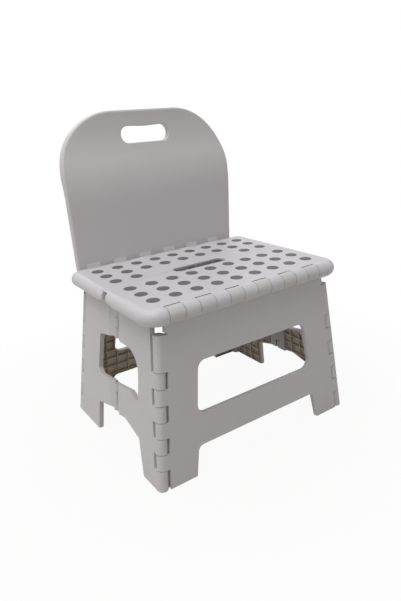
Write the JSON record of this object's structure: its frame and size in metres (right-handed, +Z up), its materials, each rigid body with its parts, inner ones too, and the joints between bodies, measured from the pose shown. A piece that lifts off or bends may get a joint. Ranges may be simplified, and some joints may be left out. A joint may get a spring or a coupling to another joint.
{
  "type": "folding step stool chair",
  "caption": "Plastic step stool with hinged leg panels, a seat that folds upwards in the middle, soft round grips, and a low backrest with a hand hole.",
  "frame": {"origin": "on the floor under the middle of the bounding box", "axes": "+Z up, -Y to the front of the seat, +X to the right of a person facing the rear"},
  "size_m": [0.2984, 0.2466, 0.4073],
  "materials": {
    "leg_plastic": "satin moulded plastic, fine grain",
    "seat_plastic": "satin moulded plastic, fine grain",
    "seat_grips": "matt soft plastic",
    "hinge_pins": "drawn steel wire"
  },
  "bodies": {
    "rear_panel": {"rear_panel_and_backrest": "leg_plastic", "rear_left_corner_pin": "hinge_pins", "rear_right_corner_pin": "hinge_pins", "rear_seat_hinge_pin": "hinge_pins"},
    "left_rear_side": {"left_rear_side_panel": "leg_plastic"},
    "left_front_side": {"left_front_side_panel": "leg_plastic", "left_upper_side_pin": "hinge_pins", "left_lower_side_pin": "hinge_pins"},
    "front_panel": {"front_panel": "leg_plastic", "front_left_corner_pin": "hinge_pins", "front_right_corner_pin": "hinge_pins", "front_seat_hinge_pin": "hinge_pins"},
    "right_rear_side": {"right_rear_side_panel": "leg_plastic"},
    "right_front_side": {"right_front_side_panel": "leg_plastic", "right_upper_side_pin": "hinge_pins", "right_lower_side_pin": "hinge_pins"},
    "seat_rear": {"seat_rear_half": "seat_plastic", "rear_seat_grip_dots": "seat_grips", "seat_middle_hinge_pin": "hinge_pins"},
    "seat_front": {"seat_front_half": "seat_plastic", "front_seat_grip_dots": "seat_grips"}
  },
  "joints": [
    {"name": "left_rear_corner_hinge", "type": "hinge", "parent": "rear_panel", "child": "left_rear_side", "pos_m": [-0.14266, 0.10944, 0], "axis": [0.108, -0.139, 0.9844], "range_deg": [0, 74]},
    {"name": "left_side_middle_hinge", "type": "hinge", "parent": "left_rear_side", "child": "left_front_side", "pos_m": [-0.14554, -0.00402, 0.00032], "axis": [0.1119, -0.0279, 0.9933], "range_deg": [-147.37, 0]},
    {"name": "left_front_corner_hinge", "type": "hinge", "parent": "left_front_side", "child": "front_panel", "pos_m": [-0.14266, -0.11678, 0], "axis": [0.1087, 0.0835, 0.9906], "range_deg": [0, 74.58]},
    {"name": "right_rear_corner_hinge", "type": "hinge", "parent": "rear_panel", "child": "right_rear_side", "pos_m": [0.14266, 0.10944, 0], "axis": [-0.108, -0.139, 0.9844], "range_deg": [-74.15, 0]},
    {"name": "right_front_corner_hinge", "type": "hinge", "parent": "front_panel", "child": "right_front_side", "pos_m": [0.14266, -0.11678, 0], "axis": [-0.1087, 0.0835, 0.9906], "range_deg": [0, 74.44]},
    {"name": "seat_rear_hinge", "type": "hinge", "parent": "rear_panel", "child": "seat_rear", "pos_m": [0, 0.0842, 0.2023], "axis": [1, 0, 0], "range_deg": [-64.02, 0]},
    {"name": "seat_front_hinge", "type": "hinge", "parent": "front_panel", "child": "seat_front", "pos_m": [0, -0.108, 0.2023], "axis": [1, 0, 0], "range_deg": [0, 65.86]}
  ],
  "couplings": [
    {"joint": "left_side_middle_hinge", "follows": "left_rear_corner_hinge", "ratio": -1.9914},
    {"joint": "left_front_corner_hinge", "follows": "left_rear_corner_hinge", "ratio": 1.0078},
    {"joint": "right_rear_corner_hinge", "follows": "left_rear_corner_hinge", "ratio": -1.002},
    {"joint": "right_front_corner_hinge", "follows": "left_rear_corner_hinge", "ratio": 1.0059},
    {"joint": "seat_rear_hinge", "follows": "left_rear_corner_hinge", "ratio": -0.865},
    {"joint": "seat_front_hinge", "follows": "left_rear_corner_hinge", "ratio": 0.8899}
  ]
}
